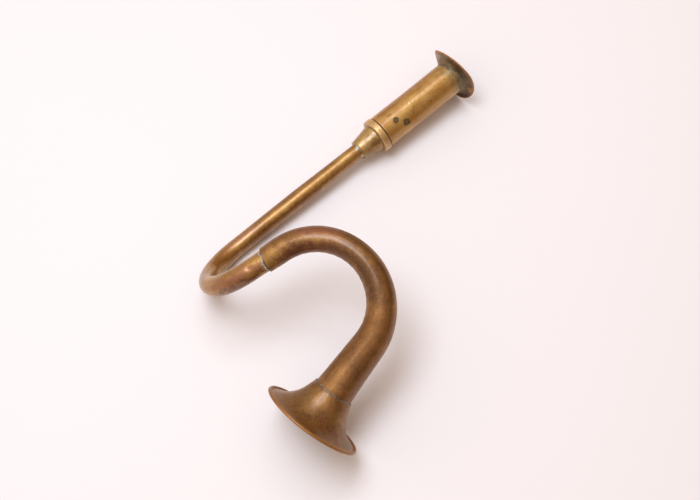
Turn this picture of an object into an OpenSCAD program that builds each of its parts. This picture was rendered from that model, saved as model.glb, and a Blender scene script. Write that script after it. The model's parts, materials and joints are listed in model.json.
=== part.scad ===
// Rigid one-eared stethoscope of sheet brass: a flared chest bell, a bent sound tube
// and a small dished ear disc on a barrel that unscrews from the tube.
// It lies on its side on a flat surface, z = 0, and touches it in three places: the ear
// disc's rim, the underside of the thin tube and the bell's rim.
// Positions along the sound tube run from the ear disc's rim (0) to the bell's mouth.
// Millimetres and degrees.

/* [Ear disc] */
// Radius of the ear disc
disc_r = 13.1; // [12:0.1:15]
// Thickness of the ear disc's sheet
disc_t = 0.6; // [0.4:0.1:0.8]
// Dish angle of the ear disc
disc_dish = 13; // [6:1:20]

/* [Barrel] */
// Outer radius of the barrel
barrel_r = 7.9; // [7.6:0.1:8.3]
// Thickness of the barrel's wall
barrel_wall = 0.6; // [0.4:0.1:0.8]
// Length of the barrel
barrel_len = 43.5; // [35:0.5:55]

/* [Screw joint] */
// Outer radius of the threaded spigot
spigot_r = 5.2; // [4.8:0.1:5.6]
// Length of thread that stands out of the collar ring
thread_len = 6.7; // [5:0.1:9]
// Thickness of the sealing washer
washer_t = 0.44; // [0.3:0.01:0.8]

/* [Collar ring and ferrule] */
// Outer radius of the collar ring
ring_r = 8.35; // [8:0.05:9]
// Width of the collar ring
ring_w = 3.3; // [2.5:0.1:5]
// Outer radius of the ferrule at the collar ring
ferrule_r_big = 6.5; // [6.2:0.1:7.5]
// Outer radius of the ferrule at the thin tube
ferrule_r_small = 4.75; // [4.4:0.05:5.2]
// Length of the ferrule
ferrule_len = 9.9; // [8:0.1:14]

/* [Thin tube] */
// Outer radius of the thin tube at the ferrule
tube_r_near = 3.55; // [3.2:0.05:3.7]
// Outer radius of the thin tube along its straight stretch
tube_r_mid = 4; // [3.6:0.1:4.2]
// Outer radius of the thin tube at the lap joint
tube_r_lap = 4.7; // [4.4:0.05:4.72]
// Thickness of the tubes' walls
tube_wall = 0.55; // [0.4:0.05:0.7]

/* [Gooseneck] */
// Outer radius of the gooseneck at its cut edge
goose_r_mouth = 5.35; // [5.35:0.05:5.5]
// Outer radius of the gooseneck around its bend
goose_r_throat = 5.55; // [5.5:0.05:6]
// Outer radius of the gooseneck at the bell
goose_r_end = 8.35; // [8:0.05:8.5]
// Angle by which the cut edge is out of square
goose_cut = 7; // [0:1:10]

/* [Bends] */
// Length from the ear disc's rim to the first bend
straight_len = 129.5; // [120:0.5:150]
// Centre-line radius of the first bend
bend1_r = 22.2; // [18:0.1:28]
// Angle of the first bend
bend1_angle = 161; // [150:1:170]
// Length between the two bends
link_len = 15.6; // [14:0.1:22]
// Centre-line radius of the second bend
bend2_r = 27; // [22:0.5:32]
// Angle of the second bend
bend2_angle = 160; // [150:1:170]
// Roll of the second bend's plane from the first's
bend2_roll = -114; // [-125:1:-100]
// Length from the second bend to the bell's mouth
last_len = 38.2; // [34:0.1:48]

/* [Chest bell] */
// Outer radius of the bell's neck
neck_r = 8.95; // [8.9:0.05:9.2]
// Length of the bell from its neck to its mouth
bell_len = 14.6; // [14:0.1:16]
// Thickness of the bell's sheet
bell_wall = 0.55; // [0.4:0.05:0.6]
// Radius of the rolled edge's section
bead_r = 0.65; // [0.55:0.05:0.8]

/* [Resting attitude] */
// Slope of the straight stretch, down towards the first bend
rest_slope = 4; // [2:0.01:6]
// Roll of the first bend's plane, up from the table
rest_roll = 54.68; // [45:0.01:65]

/* [Hidden] */
$fn = 96;

// Clearances
run_gap = 0.05;    // thread, between spigot and bush
solder_gap = 0.03; // between pieces that solder joins
film = 0.01;       // between solder and the piece that it sits on

// Positions along the sound tube, at the ear end
seat_r = 8.6; // radius of the disc's flat seat for the barrel
disc_depth = (disc_r - seat_r) * tan(disc_dish);
barrel_start = disc_depth + disc_t + solder_gap;
barrel_end = barrel_start + barrel_len;
washer_start = barrel_end + solder_gap;
ring_start = washer_start + washer_t + solder_gap;
ring_end = ring_start + ring_w;
ferrule_start = ring_end + solder_gap;
ferrule_end = ferrule_start + ferrule_len;
spigot_tip = ring_start - thread_len;
spigot_hold = 3.3; // length of the spigot inside the ferrule
spigot_end = ferrule_start + spigot_hold;
bush_start = spigot_tip - 0.3;
tube_socket = 5; // depth of the thin tube in the ferrule
tube_start = ferrule_end - tube_socket;

// Positions along the sound tube, at the bends and the bell
bend1_end = straight_len + bend1_r * bend1_angle * PI / 180;
bend2_start = bend1_end + link_len;
bend2_end = bend2_start + bend2_r * bend2_angle * PI / 180;
mouth = bend2_end + last_len;
swell_end = 94;                      // the thin tube has its straight radius from here on
lap = bend1_end + link_len / 2;      // cut edge of the gooseneck
tube_end = lap + 6;                  // the thin tube ends inside the gooseneck
throat = lap + 4.5;                  // the gooseneck has its bend radius from here on
flare_start = bend2_start + 29;      // the gooseneck starts to swell
seam = mouth - bell_len;
goose_end = seam + 3;                // the gooseneck ends inside the bell's neck
flare_power = 1.35;                  // how late the gooseneck swells

// Radii inside
spigot_bore = spigot_r - 1;
socket_r = tube_r_near + 0.1;
bore_r = barrel_r - barrel_wall;
bush_seat_r = bore_r + 0.2; // the barrel is reamed a little wider for the bush
disc_hole_r = bore_r + 0.2; // the disc's hole stands a little back from the barrel's bore

// Facets of the two swept tubes
tube_sides = 28;
goose_sides = 32;
bend1_steps = 18;
bend2_steps = 20;

// ---- vectors and the centre line ----

function lerp(a, b, t) = a + (b - a) * min(1, max(0, t));
// v turned about the unit axis k by a degrees
function turn(v, k, a) = v * cos(a) + cross(k, v) * sin(a) + k * ((k * v) * (1 - cos(a)));
function degrees_on(len, r) = len / r * 180 / PI;

ear_dir = [-cos(rest_slope), 0, -sin(rest_slope)]; // from the ear disc towards the first bend
level_side = [0, -1, 0];
bend1_in = turn(level_side, ear_dir, rest_roll);   // from the tube to the first bend's centre
bend1_axis = cross(ear_dir, bend1_in);
bend1_centre = ear_dir * straight_len + bend1_in * bend1_r;
link_dir = turn(ear_dir, bend1_axis, bend1_angle);
link_side = turn(bend1_in, bend1_axis, bend1_angle);
link_point = bend1_centre - link_side * bend1_r;
bend2_in = turn(link_side, link_dir, bend2_roll);
bend2_axis = cross(link_dir, bend2_in);
bend2_centre = link_point + link_dir * link_len + bend2_in * bend2_r;
bell_dir = turn(link_dir, bend2_axis, bend2_angle);
bell_side = turn(link_side, bend2_axis, bend2_angle);
last_point = bend2_centre - turn(bend2_in, bend2_axis, bend2_angle) * bend2_r;

// Centre line at position s: [point, direction, side], before the part is set down
function line_at(s) =
    s <= straight_len ? [ear_dir * s, ear_dir, bend1_in] :
    s <= bend1_end ?
        let (a = degrees_on(s - straight_len, bend1_r), side = turn(bend1_in, bend1_axis, a))
        [bend1_centre - side * bend1_r, turn(ear_dir, bend1_axis, a), side] :
    s <= bend2_start ? [link_point + link_dir * (s - bend1_end), link_dir, link_side] :
    s <= bend2_end ?
        let (a = degrees_on(s - bend2_start, bend2_r))
        [bend2_centre - turn(bend2_in, bend2_axis, a) * bend2_r,
         turn(link_dir, bend2_axis, a), turn(link_side, bend2_axis, a)] :
    [last_point + bell_dir * (s - bend2_end), bell_dir, bell_side];

// ---- outer radii of the swept tubes ----

function tube_r(s) =
    s < swell_end ? lerp(tube_r_near, tube_r_mid, (s - tube_start) / (swell_end - tube_start)) :
    lerp(tube_r_mid, tube_r_lap, (s - straight_len) / (lap - straight_len));
function goose_r(s) =
    s < throat ? lerp(goose_r_mouth, goose_r_throat, (s - lap) / (throat - lap)) :
    lerp(goose_r_throat, goose_r_end,
         pow(max(0, (s - flare_start) / (seam - flare_start)), flare_power));

tube_stations = concat(
    [tube_start, swell_end],
    [for (i = [0 : bend1_steps]) lerp(straight_len, bend1_end, i / bend1_steps)],
    [tube_end]);
goose_stations = concat(
    [lap, throat - 1],
    [for (i = [0 : bend2_steps]) lerp(bend2_start, bend2_end, i / bend2_steps)],
    [for (i = [1 : 4]) lerp(bend2_end, seam, i / 4)],
    [goose_end]);

// ---- the bell ----

// Outline of the bell's sheet, from the neck (y = 0) to the mouth (y = bell_len)
neck_land = 0.6;   // straight stretch at the neck's edge
cone_angle = 19.7; // slope of the sheet behind the neck
lip_angle = 78;    // slope of the sheet at the mouth
cone_end = 5.2;    // where the sheet starts to curve
flare_r = (bell_len - cone_end) / (sin(lip_angle) - sin(cone_angle));
cone_r = neck_r + (cone_end - neck_land) * tan(cone_angle);
function flare(a) = [cone_r + flare_r * (cos(cone_angle) - cos(a)),
                     cone_end + flare_r * (sin(a) - sin(cone_angle))];
function bead_ring_r() = flare(lip_angle).x + 0.1;
flare_steps = 14;
flare_angles = [for (i = [0 : flare_steps]) lerp(cone_angle, lip_angle, i / flare_steps)];

// ---- where the part stands ----

// Rings that the part's box has to hold: [centre, direction, ring radius, section radius]
reach = concat(
    [[ear_dir * disc_t / 2, ear_dir, disc_r - disc_t / 2, disc_t / 2],
     [line_at(mouth)[0], bell_dir, bead_ring_r(), bead_r]],
    [for (s = tube_stations) let (f = line_at(s)) [f[0], f[1], tube_r(s), 0]],
    [for (s = goose_stations) let (f = line_at(s)) [f[0], f[1], goose_r(s), 0]]);
function half_width(ring, k) = ring[2] * sqrt(max(0, 1 - pow(ring[1][k], 2))) + ring[3];
low = [for (k = [0 : 2]) min([for (ring = reach) ring[0][k] - half_width(ring, k)])];
high = [for (k = [0 : 2]) max([for (ring = reach) ring[0][k] + half_width(ring, k)])];
set_down = [-(low.x + high.x) / 2, -(low.y + high.y) / 2, -low.z];

// Puts the child's +Z along d
module aim(d) {
    rotate([0, acos(d.z), atan2(d.y, d.x)])
        children();
}

// Puts the child on the centre line at position s, with +Z towards the bell
module on_line(s) {
    translate(set_down + line_at(s)[0])
        aim(line_at(s)[1])
            children();
}

// A turned ring: x is the radius and y the position from the ear disc's rim
module turned_at_ear(outline) {
    on_line(0)
        rotate_extrude()
            polygon(outline);
}

// ---- shapes ----

// Points of an arc of radius r about c, from angle a0 to a1
function arc(c, r, a0, a1, steps) =
    [for (i = [0 : steps]) let (a = lerp(a0, a1, i / steps)) c + r * [cos(a), sin(a)]];

// One wall of a swept tube: a ring of points at each station
function wall_points(stations, radii, sides, cut) = [
    for (i = [0 : len(stations) - 1]) let (f = line_at(stations[i]), up = cross(f[1], f[2]))
        for (j = [0 : sides - 1])
            let (a = 360 * j / sides,
                 slant = i == 0 ? radii[i] * tan(cut) * sin(a) : 0)
            set_down + f[0] + radii[i] * (cos(a) * f[2] + sin(a) * up) + f[1] * slant];

// The two triangles between neighbouring points a, b of one ring and c, d of the next
function patch(a, b, c, d) = [[a, b, d], [a, d, c]];

// A tube with a wall, swept along the centre line; cut slants its first edge
module swept_tube(stations, outer, wall, sides, cut = 0) {
    rings = len(stations);
    inner = [for (r = outer) r - wall];
    shift = rings * sides;
    last = shift - sides;
    points = concat(wall_points(stations, outer, sides, cut),
                    wall_points(stations, inner, sides, cut));
    faces = [
        for (j = [0 : sides - 1]) let (k = (j + 1) % sides)
            each concat(
                [for (i = [0 : rings - 2]) let (p = i * sides, q = p + sides)
                    each concat(patch(p + k, p + j, q + k, q + j),
                                patch(shift + p + j, shift + p + k, shift + q + j, shift + q + k))],
                patch(j, k, shift + j, shift + k),
                patch(last + k, last + j, shift + last + k, shift + last + j))];
    polyhedron(points, faces, convexity = 8);
}

module bell_sheet() {
    outside = [for (a = flare_angles) flare(a)];
    inside = [for (a = flare_angles) flare(a) + bell_wall * [-cos(a), sin(a)]];
    neck_bore = goose_r_end + run_gap;
    polygon(concat(
        [[neck_bore, 0], [neck_r - 0.15, 0], [neck_r, 0.2], [neck_r, neck_land]],
        outside,
        [for (i = [flare_steps : -1 : 0]) inside[i]],
        [[neck_bore, neck_land + 0.4]]));
}

// ---- sub-parts ----

module chest_bell() {
    color("#8c6238")
        on_line(seam)
            rotate_extrude()
                difference() {
                    union() {
                        bell_sheet();
                        translate([bead_ring_r(), bell_len])
                            circle(bead_r);
                    }
                    translate([bead_ring_r(), bell_len])
                        circle(bead_r / 2 + film);
                }
}

module rim_wire() {
    color("#6d6a64")
        on_line(mouth)
            rotate_extrude()
                translate([bead_ring_r(), 0])
                    circle(bead_r / 2);
}

module bell_seam_solder() {
    inner = goose_r_end + film;
    color("#7c7a66")
        on_line(seam)
            rotate_extrude()
                polygon([[inner, -0.6], [inner + 0.15, -0.55], [neck_r - 0.2, -film], [inner, -film]]);
}

module gooseneck_tube() {
    color("#7d5530")
        swept_tube(goose_stations, [for (s = goose_stations) goose_r(s)], tube_wall, goose_sides,
                   goose_cut);
}

module lap_joint_solder() {
    inner = tube_r_lap + 0.12;
    outer = goose_r_mouth - 0.1;
    color("#9a9a94")
        on_line(lap)
            rotate([0, 0, atan2_of_cut()])
                rotate([goose_cut, 0, 0])
                    rotate_extrude()
                        polygon([[inner, -1.1], [inner + 0.12, -1], [outer, -0.1], [inner, -0.1]]);
}

// Direction of the slant of the gooseneck's cut edge, in the frame that aim() sets at the lap
function atan2_of_cut() =
    let (d = link_dir,
         a = atan2(d.y, d.x),
         b = acos(d.z),
         x = [cos(a) * cos(b), sin(a) * cos(b), -sin(b)],
         y = [-sin(a), cos(a), 0],
         side = link_side)
    atan2(side * y, side * x);

module bent_tube() {
    color("#a87a3c")
        swept_tube(tube_stations, [for (s = tube_stations) tube_r(s)], tube_wall, tube_sides);
}

module ferrule_solder() {
    inner = tube_r(ferrule_end) + 0.08;
    color("#b9b6ab")
        turned_at_ear([[inner, ferrule_end + film], [ferrule_r_small - 0.35, ferrule_end + film],
                       [inner + 0.15, ferrule_end + 0.9], [inner, ferrule_end + 1.1]]);
}

module ferrule() {
    lip = 0.5;
    color("#b98a42")
        turned_at_ear([[spigot_r + solder_gap, ferrule_start], [ferrule_r_big, ferrule_start],
                       [ferrule_r_small - 0.1, ferrule_end - lip],
                       [ferrule_r_small, ferrule_end - lip + 0.1],
                       [ferrule_r_small, ferrule_end], [socket_r, ferrule_end],
                       [socket_r, tube_start - 0.3], [spigot_bore, spigot_end + 0.2],
                       [spigot_r + solder_gap, spigot_end + 0.2]]);
}

module collar_ring() {
    soft = 1.1;  // rounding towards the ferrule
    crisp = 0.3; // rounding towards the barrel
    bore = spigot_r + solder_gap;
    color("#b08238")
        turned_at_ear(concat(
            [[bore, ring_start]],
            arc([ring_r - crisp, ring_start + crisp], crisp, -90, 0, 4),
            arc([ring_r - soft, ring_end - soft], soft, 0, 90, 8),
            [[bore, ring_end]]));
}

module threaded_spigot() {
    lead_in = 0.4;
    color("#b08a4a")
        turned_at_ear([[spigot_bore, spigot_tip], [spigot_r - lead_in, spigot_tip],
                       [spigot_r, spigot_tip + lead_in], [spigot_r, spigot_end],
                       [spigot_bore, spigot_end]]);
}

module sealing_washer() {
    color("#2e241c")
        turned_at_ear([[spigot_r + 0.15, washer_start], [barrel_r - 0.35, washer_start],
                       [barrel_r - 0.35, washer_start + washer_t],
                       [spigot_r + 0.15, washer_start + washer_t]]);
}

module barrel() {
    edge = 0.15;
    color("#c0944a")
        turned_at_ear([[bore_r, barrel_start], [barrel_r, barrel_start],
                       [barrel_r, barrel_end - edge], [barrel_r - edge, barrel_end],
                       [bush_seat_r, barrel_end], [bush_seat_r, bush_start - film],
                       [bore_r, bush_start - film]]);
}

module threaded_bush() {
    color("#a8803e")
        turned_at_ear([[spigot_r + run_gap, bush_start], [bush_seat_r - solder_gap, bush_start],
                       [bush_seat_r - solder_gap, barrel_end],
                       [spigot_r + run_gap, barrel_end]]);
}

module ear_disc() {
    round_r = disc_t / 2;
    tilt = 90 + disc_dish;
    back = disc_t / cos(disc_dish);
    color("#94683a")
        turned_at_ear(concat(
            [[disc_hole_r, disc_depth], [seat_r, disc_depth]],
            arc([disc_r - round_r, round_r], round_r, -tilt, 180 - tilt, 8),
            [[seat_r + 0.4, disc_depth + back - 0.4 * tan(disc_dish)],
             [seat_r, disc_depth + disc_t], [disc_hole_r, disc_depth + disc_t]]));
}

module ear_disc_solder() {
    inner = barrel_r + film;
    foot = disc_depth + disc_t + film;
    color("#85857c")
        turned_at_ear([[inner, foot], [seat_r, foot + film], [seat_r + 0.6, foot],
                       [seat_r + 0.1, foot + 0.35], [inner + 0.25, foot + 0.9],
                       [inner, foot + 1.5]]);
}

chest_bell();
rim_wire();
bell_seam_solder();
gooseneck_tube();
lap_joint_solder();
bent_tube();
ferrule_solder();
ferrule();
collar_ring();
threaded_spigot();
sealing_washer();
barrel();
threaded_bush();
ear_disc();
ear_disc_solder();
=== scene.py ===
import json
import math

import bpy
import numpy as np
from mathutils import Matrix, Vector


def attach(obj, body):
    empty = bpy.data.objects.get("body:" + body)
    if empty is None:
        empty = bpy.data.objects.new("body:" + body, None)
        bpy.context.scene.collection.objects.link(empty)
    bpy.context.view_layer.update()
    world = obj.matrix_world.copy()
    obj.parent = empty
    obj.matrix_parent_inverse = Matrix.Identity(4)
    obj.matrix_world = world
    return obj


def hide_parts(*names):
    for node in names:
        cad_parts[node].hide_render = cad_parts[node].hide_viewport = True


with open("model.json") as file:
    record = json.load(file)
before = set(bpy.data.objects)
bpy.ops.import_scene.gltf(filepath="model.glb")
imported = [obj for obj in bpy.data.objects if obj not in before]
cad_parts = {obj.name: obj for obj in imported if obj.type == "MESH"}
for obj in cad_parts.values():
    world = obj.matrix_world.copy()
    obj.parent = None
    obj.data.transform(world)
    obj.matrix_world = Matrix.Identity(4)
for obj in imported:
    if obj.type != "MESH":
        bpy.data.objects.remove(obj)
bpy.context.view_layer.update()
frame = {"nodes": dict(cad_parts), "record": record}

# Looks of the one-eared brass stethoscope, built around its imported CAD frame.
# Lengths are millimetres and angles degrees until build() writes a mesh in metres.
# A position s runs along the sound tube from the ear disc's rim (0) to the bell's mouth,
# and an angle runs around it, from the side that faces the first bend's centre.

MM = 0.001


# ---- driving dimensions, as in the CAD ----

disc_r, disc_t, disc_dish = 13.1, 0.6, 13
barrel_r, barrel_wall, barrel_len = 7.9, 0.6, 43.5
spigot_r, thread_len, washer_t = 5.2, 6.7, 0.44
ring_r, ring_w = 8.35, 3.3
ferrule_r_big, ferrule_r_small, ferrule_len = 6.5, 4.75, 9.9
tube_r_near, tube_r_mid, tube_r_lap, tube_wall = 3.55, 4.0, 4.7, 0.55
goose_r_mouth, goose_r_throat, goose_r_end, goose_cut = 5.35, 5.55, 8.35, 7
straight_len, bend1_r, bend1_angle = 129.5, 22.2, 161
link_len, bend2_r, bend2_angle, bend2_roll, last_len = 15.6, 27.0, 160, -114, 38.2
neck_r, bell_len, bell_wall, bead_r = 8.95, 14.6, 0.55, 0.65
neck_land, cone_angle, lip_angle, cone_end = 0.6, 19.7, 78, 5.2
rest_roll = 54.68
solder_gap, run_gap = 0.03, 0.05

seat_r = 8.6
disc_fall = math.tan(math.radians(disc_dish))
disc_depth = (disc_r - seat_r) * disc_fall
barrel_start = disc_depth + disc_t + solder_gap
barrel_end = barrel_start + barrel_len
washer_start = barrel_end + solder_gap
ring_start = washer_start + washer_t + solder_gap
ring_end = ring_start + ring_w
ferrule_start = ring_end + solder_gap
ferrule_end = ferrule_start + ferrule_len
spigot_tip = ring_start - thread_len
spigot_end = ferrule_start + 3.3
bush_start = spigot_tip - 0.3
tube_start = ferrule_end - 5
bend1_end = straight_len + bend1_r * math.radians(bend1_angle)
bend2_start = bend1_end + link_len
bend2_end = bend2_start + bend2_r * math.radians(bend2_angle)
mouth = bend2_end + last_len
swell_end = 94
lap = bend1_end + link_len / 2
tube_end = lap + 6
throat = lap + 4.5
flare_start = bend2_start + 29
seam = mouth - bell_len
goose_end = seam + 3
flare_power = 1.35
bore_r = barrel_r - barrel_wall
bush_seat_r = bore_r + 0.2
disc_hole_r = bore_r + 0.2
spigot_bore = spigot_r - 1
socket_r = tube_r_near + 0.1
cone_r = neck_r + (cone_end - neck_land) * math.tan(math.radians(cone_angle))
flare_r = ((bell_len - cone_end)
           / (math.sin(math.radians(lip_angle)) - math.sin(math.radians(cone_angle))))
thread_pitch = 2 * math.pi * frame["record"]["behaviour"]["couplings"][0]["ratio"] / MM
thread_depth = 0.42
corrosion_spots = ((38.1, 15), (34.4, -12))  # (s, angle) on the barrel


# ---- the centre line ----

def turned(vector, axis, angle):
    """vector turned about the unit vector axis."""
    a = math.radians(angle)
    return (vector * math.cos(a) + np.cross(axis, vector) * math.sin(a)
            + axis * (axis @ vector) * (1 - math.cos(a)))


ear_bore = next(mount for mount in frame["record"]["mounts"] if mount["name"] == "ear_bore")
ear_dir = -np.array(ear_bore["axis"], float)
ear_dir /= np.linalg.norm(ear_dir)
ear_point = np.array(ear_bore["pos_m"]) / MM - ear_dir * (barrel_start + bush_start) / 2
bend1_in = turned(np.array([0.0, -1.0, 0.0]), ear_dir, rest_roll)
bend1_axis = np.cross(ear_dir, bend1_in)
bend1_centre = ear_point + ear_dir * straight_len + bend1_in * bend1_r
link_dir = turned(ear_dir, bend1_axis, bend1_angle)
link_side = turned(bend1_in, bend1_axis, bend1_angle)
link_point = bend1_centre - link_side * bend1_r
bend2_in = turned(link_side, link_dir, bend2_roll)
bend2_axis = np.cross(link_dir, bend2_in)
bend2_centre = link_point + link_dir * link_len + bend2_in * bend2_r
bell_dir = turned(link_dir, bend2_axis, bend2_angle)
bell_side = turned(link_side, bend2_axis, bend2_angle)
last_point = bend2_centre - turned(bend2_in, bend2_axis, bend2_angle) * bend2_r


def line_at(s):
    """Centre line at position s: point, direction, side."""
    if s <= straight_len:
        return ear_point + ear_dir * s, ear_dir, bend1_in
    if s <= bend1_end:
        angle = math.degrees((s - straight_len) / bend1_r)
        side = turned(bend1_in, bend1_axis, angle)
        return bend1_centre - side * bend1_r, turned(ear_dir, bend1_axis, angle), side
    if s <= bend2_start:
        return link_point + link_dir * (s - bend1_end), link_dir, link_side
    if s <= bend2_end:
        angle = math.degrees((s - bend2_start) / bend2_r)
        inward = turned(bend2_in, bend2_axis, angle)
        return (bend2_centre - inward * bend2_r, turned(link_dir, bend2_axis, angle),
                turned(link_side, bend2_axis, angle))
    return last_point + bell_dir * (s - bend2_end), bell_dir, bell_side


def ramp(x, low, high):
    """0 below low, 1 above high, smooth between."""
    t = np.clip((x - low) / (high - low), 0, 1)
    return t * t * (3 - 2 * t)


def between(s, start, full, last, end):
    """1 from full to last, falling smoothly to 0 at start and at end."""
    return ramp(s, start, full) * ramp(-s, -end, -last)


def tube_r(s):
    """Outer radius of the thin tube."""
    if s < swell_end:
        return np.interp(s, [tube_start, swell_end], [tube_r_near, tube_r_mid])
    return np.interp(s, [straight_len, lap], [tube_r_mid, tube_r_lap])


def goose_r(s):
    """Outer radius of the gooseneck."""
    if s < throat:
        return np.interp(s, [lap, throat], [goose_r_mouth, goose_r_throat])
    swell = min(1, max(0, (s - flare_start) / (seam - flare_start))) ** flare_power
    return goose_r_throat + (goose_r_end - goose_r_throat) * swell


# ---- outlines: lists of (radius, position) ----

def arc(centre, r, start, end, steps):
    """Points of a circle about centre (radius, position), from angle start to angle end."""
    angles = np.radians(np.linspace(start, end, steps + 1))
    return [(centre[0] + r * math.cos(a), centre[1] + r * math.sin(a)) for a in angles]


def rounded(corners, steps=3):
    """A closed outline through corners (radius, position, rounding)."""
    outline = []
    count = len(corners)
    for i, (r, s, size) in enumerate(corners):
        here = np.array([r, s])
        before = np.array(corners[i - 1][:2]) - here
        after = np.array(corners[(i + 1) % count][:2]) - here
        reach = min(size, 0.45 * np.linalg.norm(before), 0.45 * np.linalg.norm(after))
        first = here + before / np.linalg.norm(before) * reach
        last = here + after / np.linalg.norm(after) * reach
        for t in np.linspace(0, 1, steps + 1) if size else [0.5]:
            a = first + (here - first) * t
            b = here + (last - here) * t
            outline.append(tuple(a + (b - a) * t))
    return outline


def filled(outline, step):
    """The closed outline with more points, at most step apart."""
    points = []
    for i, a in enumerate(outline):
        b = outline[(i + 1) % len(outline)]
        gap = math.dist(a, b)
        count = max(1, math.ceil(gap / step))
        points += [(a[0] + (b[0] - a[0]) * k / count, a[1] + (b[1] - a[1]) * k / count)
                   for k in range(count)]
    return points


def wall_outline(radius, wall, start, end, step):
    """Section of a tube's wall from start to end, with softened edges."""
    edge = wall * 0.35
    facets = 3
    steps = max(2, round((end - start) / step))
    outer = [(radius(s), s) for s in np.linspace(start + edge, end - edge, steps)]
    inner = [(radius(s) - wall, s) for s in np.linspace(end - edge, start + edge, steps // 2)]
    back = arc((radius(end) - edge, end - edge), edge, 0, 90, facets)[1:]
    back += arc((radius(end) - wall + edge, end - edge), edge, 90, 180, facets)[:-1]
    front = arc((radius(start) - wall + edge, start + edge), edge, 180, 270, facets)[1:]
    front += arc((radius(start) - edge, start + edge), edge, 270, 360, facets)[:-1]
    return outer + back + inner + front


# ---- hand-made irregularity ----

def relief(angle, s, seed, around, along, waves=16):
    """Smooth uneven height, mostly from -1 to 1, with no seam around the tube."""
    rng = np.random.default_rng(seed)
    height = np.zeros(np.broadcast(angle, s).shape)
    for _ in range(waves):
        turns = int(rng.integers(0, around + 1))
        pace = rng.uniform(-1, 1) * 2 * math.pi / along
        height += np.cos(turns * np.radians(angle) + pace * s + rng.uniform(0, 2 * math.pi))
    return height / math.sqrt(waves)


def near(angle, s, r, at_s, at_angle, size):
    """1 at a place on the wall, falling to 0 at some distance from it."""
    across = (angle - at_angle + 180) % 360 - 180
    return np.exp(-((np.radians(across) * r) ** 2 + (s - at_s) ** 2) / size ** 2)


# ---- meshes ----

def rings(loop, sides, shape):
    """Vertices of a loop of (radius, position) carried around the centre line."""
    r, s = (np.array([p[k] for p in loop], float)[:, None] for k in (0, 1))
    angle = (np.arange(sides) * 360 / sides)[None, :]
    new_r, new_s = (np.broadcast_to(x, (len(loop), sides)) for x in shape(r, s, angle))
    lines = [line_at(float(x)) for x in s[:, 0]]
    point, along, side = (np.array([line[k] for line in lines])[:, None, :] for k in range(3))
    up = np.cross(along, side)
    a = np.radians(angle)[..., None]
    spoke = np.cos(a) * side + np.sin(a) * up
    places = point + spoke * new_r[..., None] + along * (new_s - s)[..., None]
    wrap = np.stack([new_r * np.cos(a[..., 0]), new_r * np.sin(a[..., 0]), new_s], -1)
    return places.reshape(-1, 3), wrap.reshape(-1, 3)


def link(name, data):
    """A new object of the scene."""
    thing = bpy.data.objects.new(name, data)
    bpy.context.scene.collection.objects.link(thing)
    return thing


def build(name, loops, sides, material, body, replaced, shape):
    """A piece turned or swept along the centre line, in place of a CAD node."""
    places, wraps, faces, count = [], [], [], 0
    for loop in loops:
        co, wrap = rings(loop, sides, shape)
        n = len(loop)
        i, j = np.meshgrid(np.arange(n), np.arange(sides), indexing="ij")
        i2, j2 = (i + 1) % n, (j + 1) % sides
        quad = np.stack([i * sides + j, i * sides + j2, i2 * sides + j2, i2 * sides + j], -1)
        faces.append(quad.reshape(-1, 4) + count)
        places.append(co)
        wraps.append(wrap)
        count += len(co)
    mesh = bpy.data.meshes.new(name)
    mesh.from_pydata(np.concatenate(places) * MM, [], np.concatenate(faces).tolist())
    mesh.attributes.new("wrap", "FLOAT_VECTOR", "POINT").data.foreach_set(
        "vector", np.concatenate(wraps).astype(np.float32).ravel())
    mesh.shade_smooth()
    mesh.materials.append(material)
    piece = link(name, mesh)
    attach(piece, body)
    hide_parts(replaced)
    return piece


# ---- materials ----

def linear(red, green, blue):
    """A display colour, 0 to 255, as the linear colour that shaders take."""
    def one(c):
        c /= 255
        return c / 12.92 if c <= 0.04045 else ((c + 0.055) / 1.055) ** 2.4
    return one(red), one(green), one(blue), 1.0


def on_wall(s, angle, r):
    """The wrap coordinates of a place on the wall."""
    return r * math.cos(math.radians(angle)), r * math.sin(math.radians(angle)), s


TARNISHED_EDGE = linear(246, 220, 184)  # tint of a metal's reflection at a glancing angle
# GOLDEN_HIGHLIGHT is golden brass with a painted highlight, for the gooseneck's side that faces
# the light.
GOLDEN_HIGHLIGHT, COPPER, PLUM_REFLECTION = linear(172, 128, 66), linear(156, 96, 70), linear(112, 66, 50)
# UMBER_SHADE is painted shade, dark brown laid on the gooseneck's right leg where the light falls
# less.
MAROON, UMBER_SHADE = linear(98, 50, 34), linear(88, 56, 30)
# SCORED is the dark colour of real scratches; PAINTED_GLINT is a painted glint, a highlight drawn
# along a scratch.
SCORED, PAINTED_GLINT = linear(92, 66, 34), linear(250, 216, 140)
FLECK, CORRODED, CORRODED_CORE = linear(62, 44, 24), linear(74, 66, 40), linear(138, 94, 58)


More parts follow.
